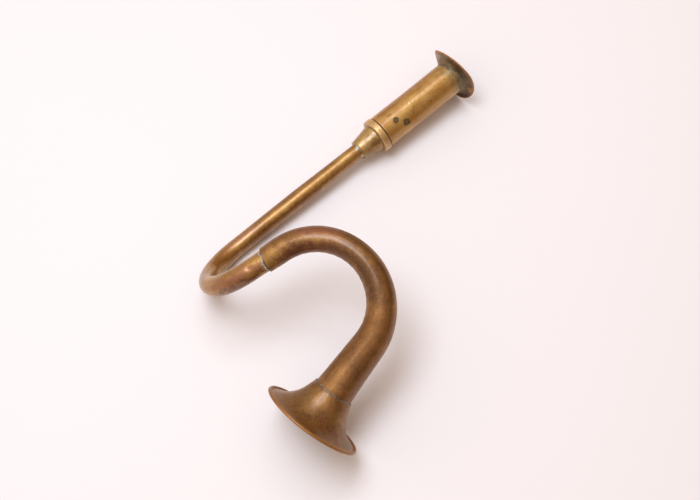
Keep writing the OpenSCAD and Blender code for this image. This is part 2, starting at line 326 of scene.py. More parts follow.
class Finish:
    """A node material whose textures follow the wrap attribute, in millimetres."""

    def __init__(self, name, metallic=1.0, coat=0.0, coat_rough=0.2, edge=None):
        self.material = bpy.data.materials.new(name)
        self.material.use_nodes = True
        self.tree = self.material.node_tree
        self.shader = next(n for n in self.tree.nodes if n.type == "BSDF_PRINCIPLED")
        self.shader.inputs["Metallic"].default_value = metallic
        self.shader.inputs["Coat Weight"].default_value = coat
        self.shader.inputs["Coat Roughness"].default_value = coat_rough
        if edge:
            self.shader.inputs["Specular Tint"].default_value = edge
        self.wrap = self.add("Attribute", attribute_name="wrap").outputs["Vector"]

    def add(self, kind, **settings):
        """A new shader node of that kind."""
        node = self.tree.nodes.new("ShaderNode" + kind)
        for key, value in settings.items():
            setattr(node, key, value)
        return node

    def put(self, value, socket):
        """Link value to the socket if it is a socket, or else set it there."""
        if isinstance(value, bpy.types.NodeSocket):
            self.tree.links.new(value, socket)
        else:
            socket.default_value = value

    def stretch(self, x, y, z):
        """The wrap coordinates scaled, so that a texture is drawn out along or around."""
        node = self.add("Mapping")
        self.put(self.wrap, node.inputs["Vector"])
        node.inputs["Scale"].default_value = (x, y, z)
        return node.outputs["Vector"]

    def noise(self, size, detail=4, rough=0.55, where=None, warp=0.0, seed=0.0):
        """Cloudy noise with features of about that size."""
        node = self.add("TexNoise", noise_dimensions="4D")
        self.put(where or self.wrap, node.inputs["Vector"])
        node.inputs["Scale"].default_value = 1 / size
        node.inputs["Detail"].default_value = detail
        node.inputs["Roughness"].default_value = rough
        node.inputs["Distortion"].default_value = warp
        node.inputs["W"].default_value = seed
        return node.outputs["Fac"]

    def specks(self, size, share, seed):
        """Small round specks, about one in a cell of that size."""
        node = self.add("TexVoronoi", voronoi_dimensions="4D", feature="F1")
        self.put(self.wrap, node.inputs["Vector"])
        node.inputs["Scale"].default_value = 1 / size
        node.inputs["W"].default_value = seed
        return self.steps(node.outputs["Distance"], share, share * 0.45)

    def steps(self, value, low, high, to_low=0.0, to_high=1.0):
        """value mapped smoothly so that low gives to_low and high gives to_high."""
        node = self.add("MapRange", interpolation_type="SMOOTHSTEP")
        flip = low > high
        ends = (high, low, to_high, to_low) if flip else (low, high, to_low, to_high)
        for socket, x in zip(("From Min", "From Max", "To Min", "To Max"), ends):
            node.inputs[socket].default_value = x
        self.put(value, node.inputs["Value"])
        return node.outputs["Result"]

    def math(self, operation, a, b):
        """One arithmetic operation."""
        node = self.add("Math", operation=operation)
        self.put(a, node.inputs[0])
        self.put(b, node.inputs[1])
        return node.outputs[0]

    def blend(self, share, a, b):
        """Colour a where share is 0, and colour b where it is 1."""
        node = self.add("Mix", data_type="RGBA")
        first, second = (socket for socket in node.inputs if socket.type == "RGBA")
        self.put(share, node.inputs["Factor"])
        self.put(a, first)
        self.put(b, second)
        return next(socket for socket in node.outputs if socket.type == "RGBA")

    def colours(self, value, *stops):
        """A colour ramp over value, from (place, colour) stops."""
        node = self.add("ValToRGB")
        bar = node.color_ramp
        while len(bar.elements) < len(stops):
            bar.elements.new(0.5)
        for element, (place, colour) in zip(bar.elements, stops):
            element.position = place
            element.color = colour
        self.put(value, node.inputs["Fac"])
        return node.outputs["Color"]

    def spot(self, s, angle, r, size, soft=0.5, ragged=0.25, long=1.0):
        """1 inside a ragged round spot on the wall, 0 outside it; long draws it out along s."""
        away = self.add("VectorMath", operation="SUBTRACT")
        self.put(self.wrap, away.inputs[0])
        away.inputs[1].default_value = on_wall(s, angle, r)
        squeeze = self.add("VectorMath", operation="MULTIPLY")
        self.put(away.outputs[0], squeeze.inputs[0])
        squeeze.inputs[1].default_value = (1, 1, 1 / long)
        length = self.add("VectorMath", operation="LENGTH")
        self.put(squeeze.outputs[0], length.inputs[0])
        uneven = self.steps(self.noise(size * 0.9, 4, seed=s), 0.3, 0.7,
                            -ragged * size, ragged * size)
        edge = self.math("ADD", length.outputs["Value"], uneven)
        return self.steps(edge, size * (1 + soft / 2), size * (1 - soft / 2))

    def scratch(self, start, end, r, width):
        """1 along a straight scratch between two places (s, angle) of the wall."""
        a, b = (np.array(on_wall(s, angle, r)) for s, angle in (start, end))
        reach = b - a
        away = self.add("VectorMath", operation="SUBTRACT")
        self.put(self.wrap, away.inputs[0])
        away.inputs[1].default_value = a
        along = self.add("VectorMath", operation="DOT_PRODUCT")
        self.put(away.outputs[0], along.inputs[0])
        along.inputs[1].default_value = reach / (reach @ reach)
        share = self.add("Clamp")
        self.put(along.outputs["Value"], share.inputs["Value"])
        step = self.add("VectorMath", operation="SCALE")
        step.inputs[0].default_value = reach
        self.put(share.outputs[0], step.inputs["Scale"])
        gap = self.add("VectorMath", operation="DISTANCE")
        self.put(away.outputs[0], gap.inputs[0])
        self.put(step.outputs[0], gap.inputs[1])
        uneven = self.steps(self.noise(width * 3, 3, seed=start[0]), 0.3, 0.7, -width, width)
        return self.steps(self.math("ADD", gap.outputs["Value"], uneven), width * 1.6, width * 0.3)

    def bumps(self, *layers):
        """Relief from (height, depth in millimetres) layers, one over the other."""
        normal = None
        for height, depth in layers:
            node = self.add("Bump")
            node.inputs["Distance"].default_value = depth * MM
            self.put(height, node.inputs["Height"])
            if normal:
                self.put(normal, node.inputs["Normal"])
            normal = node.outputs["Normal"]
        self.put(normal, self.shader.inputs["Normal"])

    def done(self, colour, roughness):
        """The finished material."""
        self.put(colour, self.shader.inputs["Base Color"])
        self.put(roughness, self.shader.inputs["Roughness"])
        return self.material


def tarnish(look, light, mid, dark, seed, patina, along):
    """Cloudy patina with draw lines and grain: its colour and the three textures."""
    cloud = look.noise(patina, 5, 0.6, warp=0.6, seed=seed)
    streak = look.noise(1.3, 5, 0.65, look.stretch(1, 1, along), warp=0.4, seed=seed + 1)
    grain = look.noise(0.45, 3, 0.6, seed=seed + 2)
    tone = look.math("ADD", look.math("MULTIPLY", cloud, 0.62),
                     look.math("MULTIPLY", streak, 0.3))
    tone = look.math("ADD", tone, look.math("MULTIPLY", grain, 0.08))
    return look.colours(tone, (0.36, dark), (0.5, mid), (0.64, light)), cloud, streak, grain


def blotched(look, colour, blotch, share, seed, patina, grain):
    """Blotches drawn out along the tube, over about that share of it."""
    patch = look.noise(patina * 0.55, 4, 0.62, look.stretch(1, 1, 0.45), 1.2, seed)
    mask = look.steps(patch, 0.66 - share, 0.74 - share)
    mask = look.math("MULTIPLY", mask, look.steps(grain, 0.3, 0.6, 0.45, 0.9))
    return look.blend(mask, colour, blotch)


def hairlines(look, colour, dark, seed, cloud):
    """Fine wandering scratches, where the patina is thin."""
    hair = look.noise(3.2, 2, 0.5, look.stretch(1.2, 1.2, 0.22), 1.6, seed)
    hair = look.math("MULTIPLY", look.steps(hair, 0.488, 0.5), look.steps(hair, 0.512, 0.5))
    hair = look.math("MULTIPLY", hair, look.steps(cloud, 0.48, 0.58, 0, 0.5))
    return look.blend(hair, colour, dark)


def brass(name, light, mid, dark, seed, blotch=None, blotch_share=0.0, rough=(0.3, 0.45),
          along=0.07, patina=9.0, coat=0.7, coat_rough=0.2, speckle=0.15, spots=(), painted_shade_and_bands=(),
          patches=(), scratches=()):
    """Old brass: cloudy patina, draw lines, blotches, specks and fine scratches.

    spots are (s, angle, radius, size) of corrosion, bands (mask, colour, strength) of painted
    shade in gaps, bores and beside the ear disc and of the rims' and collar faces' own colours,
    patches (s, angle, radius, width, length / width, colour, strength) of stain, with painted
    highlights and painted shade among them, and scratches (start, end, radius, width, colour), the
    bright ones painted glints."""
    look = Finish(name, 0.82, coat, coat_rough, TARNISHED_EDGE)
    colour, cloud, streak, grain = tarnish(look, light, mid, dark, seed, patina, along)
    if blotch:
        colour = blotched(look, colour, blotch, blotch_share, seed + 3, patina, grain)
    # Patches of stain, with painted highlights and painted shade among them, as noted where they
    # are listed.
    for s, angle, r, width, long, tint, strength in patches:
        stain = look.spot(s, angle, r, width, soft=1.3, ragged=0.5, long=long)
        colour = look.blend(look.math("MULTIPLY", stain, strength), colour, tint)
    peppered = look.noise(0.55, 3, 0.7, seed=seed + 9)
    colour = look.blend(look.steps(peppered, 0.42, 0.7, 0, speckle * 2), colour, dark)
    colour = look.blend(look.steps(peppered, 0.56, 0.34, 0, speckle), colour, light)
    fleck = look.math("MULTIPLY", look.specks(2.6, 0.16, seed + 4),
                      look.steps(look.noise(6, 2, seed=seed + 5), 0.5, 0.6))
    colour = look.blend(look.math("MULTIPLY", fleck, 0.7), colour, FLECK)
    colour = hairlines(look, colour, dark, seed + 6, cloud)
    roughness = look.steps(look.math("ADD", look.math("MULTIPLY", cloud, 0.5),
                                     look.math("MULTIPLY", streak, 0.5)),
                           0.35, 0.65, rough[1], rough[0])
    roughness = look.math("ADD", roughness, look.math("MULTIPLY", fleck, 0.25))
    pits = fleck
    for s, angle, r, size in spots:
        body = look.spot(s, angle, r, size, soft=0.5, ragged=0.16)
        core = look.spot(s, angle, r, size * 0.5, soft=0.9, ragged=0.3)
        colour = look.blend(look.math("MULTIPLY", body, 0.9), colour, CORRODED)
        colour = look.blend(look.math("MULTIPLY", core, 0.85), colour, CORRODED_CORE)
        roughness = look.math("ADD", roughness, look.math("MULTIPLY", body, 0.3))
        pits = look.math("ADD", pits, body)
    # Scratches, the bright ones painted glints.
    for start, end, r, width, tint in scratches:
        cut = look.scratch(start, end, r, width)
        colour = look.blend(look.math("MULTIPLY", cut, 0.8), colour, tint)
    # Bands by mask: painted shade in gaps, bores and beside the ear disc, and the rims' and collar
    # faces' own colours.
    for mask, tint, strength in painted_shade_and_bands:
        share = look.math("MULTIPLY", mask(look), strength)
        colour = look.blend(share, colour, tint)
        roughness = look.math("ADD", roughness, look.math("MULTIPLY", share, 0.25))
    look.bumps((streak, 0.012), (grain, 0.006), (peppered, 0.008),
               (look.math("SUBTRACT", 1, pits), 0.05))
    return look.done(colour, roughness)


def along_mask(start, end, soft=2.0, lean=0.0):
    """A mask, for brass(), of the tube from start to end, with ragged and perhaps slanted ends."""
    def mask(look):
        place = look.add("VectorMath", operation="DOT_PRODUCT")
        look.put(look.wrap, place.inputs[0])
        place.inputs[1].default_value = (0, -lean, 1)
        ragged = look.steps(look.noise(2.2, 4, seed=start), 0.3, 0.7, -soft / 2, soft / 2)
        s = look.math("ADD", place.outputs["Value"], ragged)
        first = look.steps(s, start - soft / 2, start + soft / 2)
        last = look.steps(s, end + soft / 2, end - soft / 2)
        return look.math("MULTIPLY", first, last)
    return mask


def radius_mask(full, none):
    """A mask, for brass(), that is 1 at the radius full and beyond, and 0 from the radius none."""
    def mask(look):
        flat = look.add("VectorMath", operation="MULTIPLY")
        look.put(look.wrap, flat.inputs[0])
        flat.inputs[1].default_value = (1, 1, 0)
        size = look.add("VectorMath", operation="LENGTH")
        look.put(flat.outputs[0], size.inputs[0])
        return look.steps(size.outputs["Value"], none, full)
    return mask


def solder(name, light, dark, seed, rough=(0.35, 0.6), stained=0.4):
    """Soft solder, grey and crusty."""
    look = Finish(name, metallic=0.6)
    cloud = look.noise(1.4, 5, 0.65, warp=0.8, seed=seed)
    grain = look.noise(0.35, 4, 0.6, seed=seed + 1)
    stain = look.steps(look.noise(2.6, 3, seed=seed + 2), 0.52, 0.66)
    colour = look.colours(cloud, (0.38, dark), (0.62, light))
    colour = look.blend(look.math("MULTIPLY", stain, stained), colour, linear(140, 104, 62))
    look.bumps((cloud, 0.12), (grain, 0.04))
    return look.done(colour, look.steps(grain, 0.35, 0.65, *rough))


def drawn_steel(name):
    """Bright wire with lines along its drawing direction."""
    look = Finish(name, edge=TARNISHED_EDGE)
    lines = look.noise(0.3, 4, 0.6, look.stretch(1, 1, 0.2), seed=7)
    look.bumps((lines, 0.01))
    colour = look.colours(lines, (0.35, linear(110, 106, 100)), (0.65, linear(160, 158, 152)))
    return look.done(colour, look.steps(lines, 0.3, 0.7, 0.3, 0.5))


def oiled_leather(name):
    """Dark pressed leather, shiny where the oil has come through."""
    look = Finish(name, metallic=0.0)
    grain = look.noise(0.35, 5, 0.65, seed=3)
    wet = look.noise(2.0, 3, seed=4)
    look.bumps((grain, 0.05), (wet, 0.05))
    colour = look.colours(grain, (0.35, linear(34, 26, 20)), (0.65, linear(72, 56, 42)))
    return look.done(colour, look.steps(wet, 0.3, 0.7, 0.45, 0.75))


def table_top(name):
    """Matt off-white laminate with a trace of unevenness."""
    look = Finish(name, metallic=0.0)
    place = look.add("TexCoord").outputs["Object"]
    cloud = look.noise(0.35, 3, where=place, seed=1)
    fine = look.noise(0.0012, 2, where=place, seed=2)
    look.bumps((fine, 0.01))
    colour = look.colours(cloud, (0.3, (0.82, 0.77, 0.78, 1)), (0.7, (0.84, 0.79, 0.8, 1)))
    return look.done(colour, look.steps(fine, 0.3, 0.7, 0.62, 0.7))


# Marks are placed by position, angle and radius, and listed as brass() says.

BARREL_BRASS = brass(
    "barrel_brass", linear(200, 164, 98), linear(184, 140, 70), linear(160, 106, 44), 11,
    rough=(0.48, 0.6), patina=8, coat=0.95, coat_rough=0.24,
    spots=[(*place, barrel_r, size) for place, size in zip(corrosion_spots, (1.35, 1.7))],
    patches=[(24, 82, barrel_r, 1.6, 8, linear(156, 94, 36), 0.6),
             (36, 66, barrel_r, 1.2, 5, linear(156, 94, 36), 0.55),
             (20, -22, barrel_r, 2.4, 4, linear(168, 114, 36), 0.5),
             (30, -28, barrel_r, 2.0, 4, linear(170, 118, 38), 0.5),
             (33.4, -22, barrel_r, 0.5, 1.6, linear(78, 70, 40), 0.8),
             (13, 12, barrel_r, 2.2, 1.6, linear(172, 120, 46), 0.5),
             (39, 42, barrel_r, 0.5, 2.5, linear(112, 78, 34), 0.8)],
    scratches=[((27.2, 18), (29.5, -3), barrel_r, 0.16, SCORED),
               ((28.2, -14), (28.9, -19), barrel_r, 0.16, SCORED),
               ((19.5, -4), (19.1, -10), barrel_r, 0.18, SCORED),
               # The two PAINTED_GLINT scratches are painted glints.
               ((28.0, 35), (28.5, 31), barrel_r, 0.16, PAINTED_GLINT),
               ((26.2, 34), (26.5, 31), barrel_r, 0.14, PAINTED_GLINT)],
    # Painted shade: the barrel darkened beside the ear disc, and inside its bore and end faces.
    painted_shade_and_bands=[(along_mask(0, 6.5, 4), linear(124, 108, 76), 0.45),
             (radius_mask(7.5, 7.7), linear(86, 64, 36), 0.75)])
COLLAR_BRASS = brass(
    "collar_brass", linear(222, 188, 134), linear(204, 164, 106), linear(168, 126, 74), 23,
    rough=(0.46, 0.58), along=0.3, patina=6, coat=0.9,
    painted_shade_and_bands=[(radius_mask(7.6, 8.1), linear(150, 130, 100), 0.5)])
FERRULE_BRASS = brass(
    "ferrule_brass", linear(190, 156, 98), linear(170, 132, 74), linear(130, 92, 46), 31,
    rough=(0.46, 0.58), patina=5, coat=0.9,
    # Painted shade: the first patch darkens the ferrule under the collar ring's overhanging edge.
    patches=[(51, 0, 6.4, 2.4, 1, linear(112, 74, 28), 0.7),
             (55, -40, 6, 2.2, 2, linear(128, 86, 38), 0.6)])
THREAD_BRASS = brass(
    "thread_brass", linear(202, 160, 92), linear(176, 130, 62), linear(124, 86, 40), 37,
    rough=(0.3, 0.46), along=1, patina=2)
TUBE_BRASS = brass(
    "tube_brass", linear(190, 148, 78), linear(164, 116, 48), linear(118, 72, 28), 41,
    blotch=linear(160, 106, 82), blotch_share=0.1, rough=(0.42, 0.54), patina=11, coat=1.0,
    coat_rough=0.22,
    # The PLUM_REFLECTION patches are a painted dark reflection, a purple-brown band along the thin
    # tube's upper edge.
    patches=[(100, 96, 3.9, 1.5, 22, PLUM_REFLECTION, 0.7), (72, 100, 3.7, 1.2, 14, PLUM_REFLECTION, 0.6),
             (142, 36, 4.1, 2.0, 4, linear(154, 90, 30), 0.7),
             (156, 100, 4.2, 2.6, 2.6, linear(150, 118, 104), 0.6),
             (186, 162, 4.5, 2.2, 5, COPPER, 0.75), (184, -140, 4.5, 2.8, 4, MAROON, 0.9),
             # Painted shade: a long dark streak along the thin tube's lower side.
             (108, -25, 4, 1.8, 16, linear(112, 64, 20), 0.7),
             (126, 45, 4, 1.2, 7, linear(166, 116, 94), 0.7)],
    scratches=[((96, 4), (97.5, -6), 3.9, 0.14, SCORED), ((118, 2), (119, -8), 4, 0.16, SCORED)],
    # Painted shade: the thin tube darkened where it runs in under the gooseneck's cut end.
    painted_shade_and_bands=[(along_mask(lap - 0.3, lap + 9, 0.3, 0.14), linear(34, 26, 20), 0.95)])
GOOSE_BRASS = brass(
    "gooseneck_brass", linear(164, 116, 62), linear(136, 90, 42), linear(96, 56, 26), 53,
    blotch=linear(146, 84, 62), blotch_share=0.06, rough=(0.5, 0.62), patina=12, coat=0.65,
    coat_rough=0.24, speckle=0.2,
    # The GOLDEN_HIGHLIGHT patches are golden brass with a painted highlight where the light falls
    # on the gooseneck.
    patches=[(204, 168, 5.4, 3.4, 2.2, GOLDEN_HIGHLIGHT, 0.9), (222, 160, 5.5, 1.4, 6, GOLDEN_HIGHLIGHT, 0.6),
             (215, -156, 5.5, 3.4, 2.6, MAROON, 0.9), (232, -172, 5.6, 2.4, 4, MAROON, 0.6),
             # The UMBER_SHADE patches are painted shade on the gooseneck's right leg, toning down
             # its highlight.
             (224, 114, 5.5, 2.0, 4, COPPER, 0.7), (250, 168, 5.8, 3.4, 4, UMBER_SHADE, 0.8),
             (256, 104, 6, 1.5, 7, UMBER_SHADE, 0.35), (290, 128, 7.4, 3, 4, UMBER_SHADE, 0.4)],
    # Painted shade: the gooseneck darkened at its cut end and inside its bore.
    painted_shade_and_bands=[(along_mask(lap - 3, lap + 0.1, 0.2, 0.12), linear(52, 36, 24), 0.8),
             (radius_mask(5.0, 5.2), linear(44, 30, 20), 0.9)])
BELL_BRASS = brass(
    "bell_brass", linear(164, 120, 68), linear(138, 94, 44), linear(96, 60, 30), 67,
    blotch=linear(140, 74, 48), blotch_share=0.07, rough=(0.5, 0.62), patina=8, coat=0.65,
    coat_rough=0.28, speckle=0.25,
    patches=[(314.6, -160, 12, 4, 1, linear(126, 94, 46), 0.6),
             (318, 106, 15, 2.2, 1, linear(124, 56, 36), 0.8),
             (316, 135, 13, 1.6, 1, linear(132, 70, 44), 0.6),
             (319, 75, 17, 4, 1, linear(98, 76, 52), 0.7)],
    painted_shade_and_bands=[(radius_mask(19.7, 19.3), linear(186, 126, 66), 0.5)])
DISC_BRASS = brass(
    "disc_brass", linear(130, 104, 70), linear(100, 82, 56), linear(68, 58, 44), 71,
    blotch=linear(140, 92, 52), blotch_share=0.06, rough=(0.4, 0.55), patina=4, along=1,
    coat=0.5, coat_rough=0.3,
    patches=[(1.2, 104, 12, 3.0, 1, linear(160, 140, 126), 0.8),
             (1.2, 20, 11, 3.0, 1, linear(84, 70, 44), 0.6),
             # Painted shadow: a dark patch on the disc's back beside the barrel.
             (1.0, -88, 11, 4.0, 1, linear(62, 42, 24), 0.9),
             # Painted highlight: a golden sheen on the side of the disc that catches the light.
             (0.8, -52, 12.4, 1.8, 1, linear(176, 126, 58), 0.8)],
    painted_shade_and_bands=[(radius_mask(12.75, 12.15), linear(190, 126, 78), 0.75)])


# ---- pieces ----

def make_barrel():
    """The straight tube, a little dented, with two pits of corrosion."""
    loop = filled(rounded([(bore_r, barrel_start, 0.12), (barrel_r, barrel_start, 0.12),
                           (barrel_r, barrel_end, 0.25), (bush_seat_r, barrel_end, 0.05),
                           (bush_seat_r, bush_start, 0), (bore_r, bush_start, 0)]), 0.5)
    calm = 3

    def shape(r, s, angle):
        uneven = 0.03 * relief(angle, s, seed=5, around=3, along=30)
        dent = (0.06 * near(angle, s, barrel_r, at_s=14, at_angle=-20, size=4)
                + 0.05 * near(angle, s, barrel_r, at_s=25, at_angle=70, size=5))
        fade = between(s, barrel_start, barrel_start + calm, barrel_end - calm, barrel_end)
        (first_s, first_angle), (second_s, second_angle) = corrosion_spots
        pit = (0.06 * near(angle, s, barrel_r, first_s, first_angle, size=0.9)
               + 0.07 * near(angle, s, barrel_r, second_s, second_angle, size=1.1))
        pit = pit * (r > bore_r + barrel_wall / 2)
        return r + (uneven - dent) * fade - pit, s
    build("barrel_shell", [loop], 144, BARREL_BRASS, "earpiece", "barrel", shape)


def make_collar_ring():
    """The ring that the barrel is screwed up to."""
    bore = spigot_r + solder_gap
    loop = filled(rounded([(bore, ring_start, 0.05), (ring_r, ring_start, 0.35),
                           (ring_r, ring_end, 1.1), (bore, ring_end, 0.05)], 6), 0.35)

    def shape(r, s, angle):
        return r + 0.012 * relief(angle, s, seed=8, around=5, along=6), s
    build("collar_band", [loop], 128, COLLAR_BRASS, "sound_tube", "collar_ring",
          shape)


def make_ferrule():
    """The cone with a short lip, from the collar ring to the thin tube."""
    bore = spigot_r + solder_gap
    lip_start = ferrule_end - 0.5
    loop = rounded([(bore, ferrule_start, 0.05), (ferrule_r_big, ferrule_start, 0.12),
                    (ferrule_r_small - 0.1, lip_start, 0.3),
                    (ferrule_r_small, lip_start + 0.1, 0.1),
                    (ferrule_r_small, ferrule_end, 0.15), (socket_r, ferrule_end, 0.1),
                    (socket_r, tube_start - 0.3, 0), (spigot_bore, spigot_end + 0.2, 0),
                    (bore, spigot_end + 0.2, 0)])

    def shape(r, s, angle):
        return r + 0.015 * relief(angle, s, seed=9, around=4, along=9), s
    build("ferrule_cone", [filled(loop, 0.35)], 112, FERRULE_BRASS, "sound_tube", "ferrule",
          shape)


def thread_wave(s, angle):
    """0 at the root of the right-hand thread and 1 at its crest, with flattened tops."""
    phase = (s / thread_pitch - angle / 360) % 1
    return np.clip(1.5 - np.abs(phase - 0.5) * 4, 0, 1)


def make_threaded_spigot():
    """The outer thread, which runs out before the collar ring."""
    lead_in, skin, run_out = 0.5, 0.35, 0.8
    loop = filled(rounded([(spigot_bore, spigot_tip, 0.1), (spigot_r - 0.3, spigot_tip, 0.1),
                           (spigot_r, spigot_tip + lead_in, 0), (spigot_r, spigot_end, 0),
                           (spigot_bore, spigot_end, 0)]), 0.07)

    def shape(r, s, angle):
        cut = (r > spigot_r - skin) * ramp(-s, -ring_start, -ring_start + run_out)
        return r - thread_depth * (1 - thread_wave(s, angle)) * cut, s
    build("spigot_thread", [loop], 96, THREAD_BRASS, "sound_tube", "threaded_spigot",
          shape)


def make_threaded_bush():
    """The inner thread, a little shallower than the outer one."""
    inner = spigot_r + run_gap
    outer = bush_seat_r - solder_gap
    skin = 0.2
    loop = filled(rounded([(inner, bush_start, 0.1), (outer, bush_start, 0.1),
                           (outer, barrel_end, 0.08), (inner, barrel_end, 0.1)]), 0.07)

    def shape(r, s, angle):
        ends = between(s, bush_start, bush_start + 0.5, barrel_end - 0.6, barrel_end)
        cut = (r < inner + skin) * ends
        return r - (thread_depth - 0.1) * (1 - thread_wave(s, angle)) * cut, s
    build("bush_thread", [loop], 96, THREAD_BRASS, "earpiece", "threaded_bush",
          shape)


def make_sealing_washer():
    """The leather ring between barrel and collar, with an uneven cut edge."""
    inner, outer = spigot_r + 0.15, barrel_r - 0.35
    end = washer_start + washer_t
    loop = filled(rounded([(inner, washer_start, 0.12), (outer, washer_start, 0.15),
                           (outer, end, 0.15), (inner, end, 0.12)]), 0.25)

    def shape(r, s, angle):
        edge = 0.06 * relief(angle, s, seed=12, around=14, along=4)
        return r + edge * ramp(r, outer - 1, outer), s
    build("leather_washer", [loop], 96, oiled_leather("oiled_leather"), "washer",
          "sealing_washer", shape)


def disc_reach(r):
    """0 at the ear disc's seat, growing to 1 at its rim."""
    return np.clip((r - seat_r) / (disc_r - seat_r), 0, 1.1) ** 1.3


def disc_bend(r, angle):
    """How far the knocks of a long life have pushed the ear disc's rim out, towards the ear."""
    turn = np.radians(angle + 30)
    knock = 0.12 + 0.97 * np.cos(2 * turn) + 0.3 * np.cos(turn) + 0.65 * np.sin(turn)
    return knock * disc_reach(r)


def make_ear_disc():
    """The dished disc, with a bent rim that is drawn out to a tip at one place."""
    slant = disc_t / math.cos(math.radians(disc_dish))
    loop = filled(rounded([
        (disc_hole_r, disc_depth, 0.12), (seat_r, disc_depth, 1.2), (disc_r, 0, 0.26),
        (disc_r, slant, 0.26), (seat_r, disc_depth + disc_t, 1.2),
        (disc_hole_r, disc_depth + disc_t, 0.12)], 4), 0.3)

    def shape(r, s, angle):
        reach = disc_reach(r)
        tip = (1.15 * near(angle, s, disc_r, at_s=s, at_angle=107, size=4) - 0.25
               + 0.04 * relief(angle, 0 * s, seed=17, around=9, along=30))
        uneven = 0.05 * relief(angle, r, seed=16, around=9, along=5)
        return r + tip * reach, s - disc_bend(r, angle) + uneven * reach
    build("ear_disc_dish", [loop], 144, DISC_BRASS, "earpiece", "ear_disc", shape)


def make_ear_disc_solder():
    """A lumpy fillet between the barrel and the ear disc's back, which it follows."""
    foot = disc_depth + disc_t
    skirt = 2.4
    loop = filled(rounded([
        (barrel_r, foot - 0.05, 0), (seat_r, foot - 0.03, 0),
        (barrel_r + skirt, foot - 0.03 - (skirt + barrel_r - seat_r) * disc_fall, 0),
        (barrel_r + 1.3, foot + 0.2, 0.5), (barrel_r + 0.55, foot + 0.85, 0.5),
        (barrel_r + 0.2, foot + 1.7, 0.4), (barrel_r - 0.05, foot + 2.8, 0.2)]), 0.18)

    def shape(r, s, angle):
        lump = (relief(angle, s, seed=21, around=12, along=3) * 0.55
                + relief(angle, s, seed=22, around=26, along=1.4) * 0.35)
        reach = 0.85 + 0.22 * relief(angle, 0 * s, seed=23, around=7, along=30)
        height = np.maximum(0, r - barrel_r)
        free = (s > foot - disc_fall * np.maximum(0, r - seat_r) + 0.05)
        rise = s - foot
        out = barrel_r + height * reach + 0.1 * lump * free * ramp(height, 0, 0.2)
        tall = np.where(free, rise * reach + 0.06 * lump * free, rise)
        return np.maximum(out, barrel_r - 0.05), foot + tall - disc_bend(out, angle)
    build("ear_disc_solder_bead", [loop], 160,
          solder("crusty_solder", linear(128, 112, 84), linear(84, 72, 50), 5, (0.45, 0.65), 0.9),
          "earpiece", "ear_disc_solder", shape)


def make_bent_tube():
    """The thin tube, flattened and wrinkled in its bend, with a dent near the lap."""
    loop = wall_outline(tube_r, tube_wall, tube_start, tube_end, 0.8)

    def shape(r, s, angle):
        in_bend = between(s, straight_len - 4, straight_len + 10, bend1_end - 8, bend1_end + 4)
        oval = -0.14 * np.cos(np.radians(2 * angle)) * in_bend
        inner_side = near(angle, s, 4, at_s=s, at_angle=0, size=3)
        wrinkle = 0.035 * np.cos(s * 2.1) * inner_side * in_bend
        uneven = (0.03 * relief(angle, s, seed=25, around=2, along=26)
                  + 0.012 * relief(angle, s, seed=26, around=4, along=7))
        dent = 0.3 * near(angle, s, 4.6, at_s=192.7, at_angle=151, size=1.1)
        fade = between(s, ferrule_end + 1, ferrule_end + 8, lap - 5, lap)
        return r + (oval + wrinkle + uneven - dent) * fade, s
    build("bent_tube_wall", [loop], 96, TUBE_BRASS, "sound_tube", "bent_tube", shape)


def cut_slant(angle):
    """How far the slanting cut of the gooseneck's narrow end lies from the lap."""
    return goose_r_mouth * math.tan(math.radians(goose_cut)) * np.sin(np.radians(angle))


def make_gooseneck_tube():
    """The swelling tube, flattened and wrinkled in its bend, with a ragged, slanting cut."""
    loop = wall_outline(goose_r, tube_wall, lap, goose_end, 0.8)

    def shape(r, s, angle):
        in_bend = between(s, bend2_start, bend2_start + 12, bend2_end - 14, bend2_end)
        towards = angle - bend2_roll
        oval = -0.12 * np.cos(np.radians(2 * towards)) * in_bend
        inner_side = near(towards, s, 5.5, at_s=s, at_angle=0, size=4)
        wrinkle = 0.04 * np.cos(s * 1.5) * inner_side * in_bend
        uneven = (0.04 * relief(angle, s, seed=27, around=2, along=30)
                  + 0.015 * relief(angle, s, seed=28, around=4, along=8))
        fade = between(s, lap + 1, lap + 6, seam - 5, seam)
        ragged = 0.12 * relief(angle, 0 * s, seed=29, around=7, along=30)
        return (r + (oval + wrinkle + uneven) * fade,
                s + (cut_slant(angle) + ragged) * ramp(-s, -lap - 4, -lap))
    build("gooseneck_wall", [loop], 112, GOOSE_BRASS, "sound_tube", "gooseneck_tube",
          shape)


def make_lap_solder():
    """A thin run along the gooseneck's cut, with three blobs."""
    inner = tube_r_lap - 0.02
    loop = filled(rounded([(inner, lap - 1.5, 0.1), (inner + 0.26, lap - 1.1, 0.2),
                           (inner + 0.34, lap - 0.4, 0.15), (inner, lap - 0.22, 0)]), 0.12)

    def shape(r, s, angle):
        blob = (0.9 * near(angle, 0 * s, 5, at_s=0, at_angle=118, size=1.3)
                + near(angle, 0 * s, 5, at_s=0, at_angle=172, size=1.7)
                + 0.7 * near(angle, 0 * s, 5, at_s=0, at_angle=-150, size=1.6))
        reach = 0.3 + 0.12 * relief(angle, 0 * s, seed=33, around=9, along=30) + 0.75 * blob
        lump = 0.15 * relief(angle, s, seed=34, around=16, along=2)
        height = (r - inner) * (0.1 + lump + 1.1 * blob)
        return (inner + np.clip(height, 0, 0.6),
                lap + (s - lap) * np.clip(reach, 0.22, 1.3) + cut_slant(angle))
    build("lap_solder_run", [loop], 144,
          solder("lap_solder", linear(206, 200, 192), linear(122, 116, 108), 8),
          "sound_tube", "lap_joint_solder", shape)


